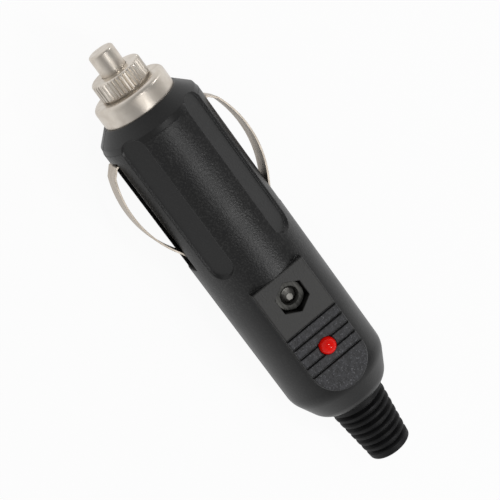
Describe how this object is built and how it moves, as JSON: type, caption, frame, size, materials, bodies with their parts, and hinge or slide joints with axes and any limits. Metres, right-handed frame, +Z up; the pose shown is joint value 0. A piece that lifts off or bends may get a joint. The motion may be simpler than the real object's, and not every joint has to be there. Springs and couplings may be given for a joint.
{
  "type": "cigarette lighter plug",
  "caption": "Black two-shell car power plug with a sprung nickel pin, knurled fuse cap, bowed side springs, ridged grip pad with red lamp, and a ribbed cable boot.",
  "frame": {"origin": "middle of the plug's length and width, on the surface its rear grip pad lies on", "axes": "+X along the plug towards the contact pin, +Z up out of the front grip pad"},
  "size_m": [0.0946, 0.0266, 0.0224],
  "materials": {
    "shell_plastic": "fine moulded grain",
    "boot_rubber": "moulded",
    "bright_nickel": "turned and plated",
    "spring_steel": "rolled strip",
    "black_steel": "blackened",
    "zinc_steel": "plated",
    "red_lens": "tinted, glossy",
    "fuse_glass": "clear",
    "terminal_brass": "bright",
    "coil_wire": "drawn wire",
    "red_insulation": "satin",
    "black_insulation": "satin",
    "board_laminate": "lacquered",
    "resistor_ceramic": "lacquered"
  },
  "bodies": {
    "handle": {"fuse_cap": "bright_nickel", "nose_collar": "bright_nickel", "front_shell": "shell_plastic", "rear_shell": "shell_plastic", "shell_screw": "zinc_steel", "shell_nut": "black_steel", "contact_spring": "coil_wire", "spring_terminal": "terminal_brass", "positive_lead": "red_insulation", "left_earth_lead": "black_insulation", "right_earth_lead": "black_insulation", "circuit_board": "board_laminate", "indicator_lamp": "red_lens", "resistor": "resistor_ceramic", "strain_relief": "boot_rubber"},
    "plunger": {"contact_pin": "bright_nickel", "fuse_tube": "fuse_glass", "fuse_ends": "bright_nickel", "fuse_wire": "coil_wire"},
    "left_contact": {"left_side_spring": "spring_steel"},
    "right_contact": {"right_side_spring": "spring_steel"}
  },
  "joints": [
    {"name": "pin_slide", "type": "slide", "parent": "handle", "child": "plunger", "axis": [-1, 0, 0], "range_m": [0, 0.0025], "stiffness_N_per_m": 800, "springref_m": -0.001, "deforming": ["contact_spring"]},
    {"name": "left_spring_press", "type": "hinge", "parent": "handle", "child": "left_contact", "pos_m": [-0.00015, 0.00737, 0.01045], "axis": [0, 0, -1], "range_deg": [0, 8], "stiffness_Nm_per_rad": 0.3},
    {"name": "right_spring_press", "type": "hinge", "parent": "handle", "child": "right_contact", "pos_m": [-0.00015, -0.00737, 0.01045], "axis": [0, 0, 1], "range_deg": [0, 8], "stiffness_Nm_per_rad": 0.3}
  ]
}
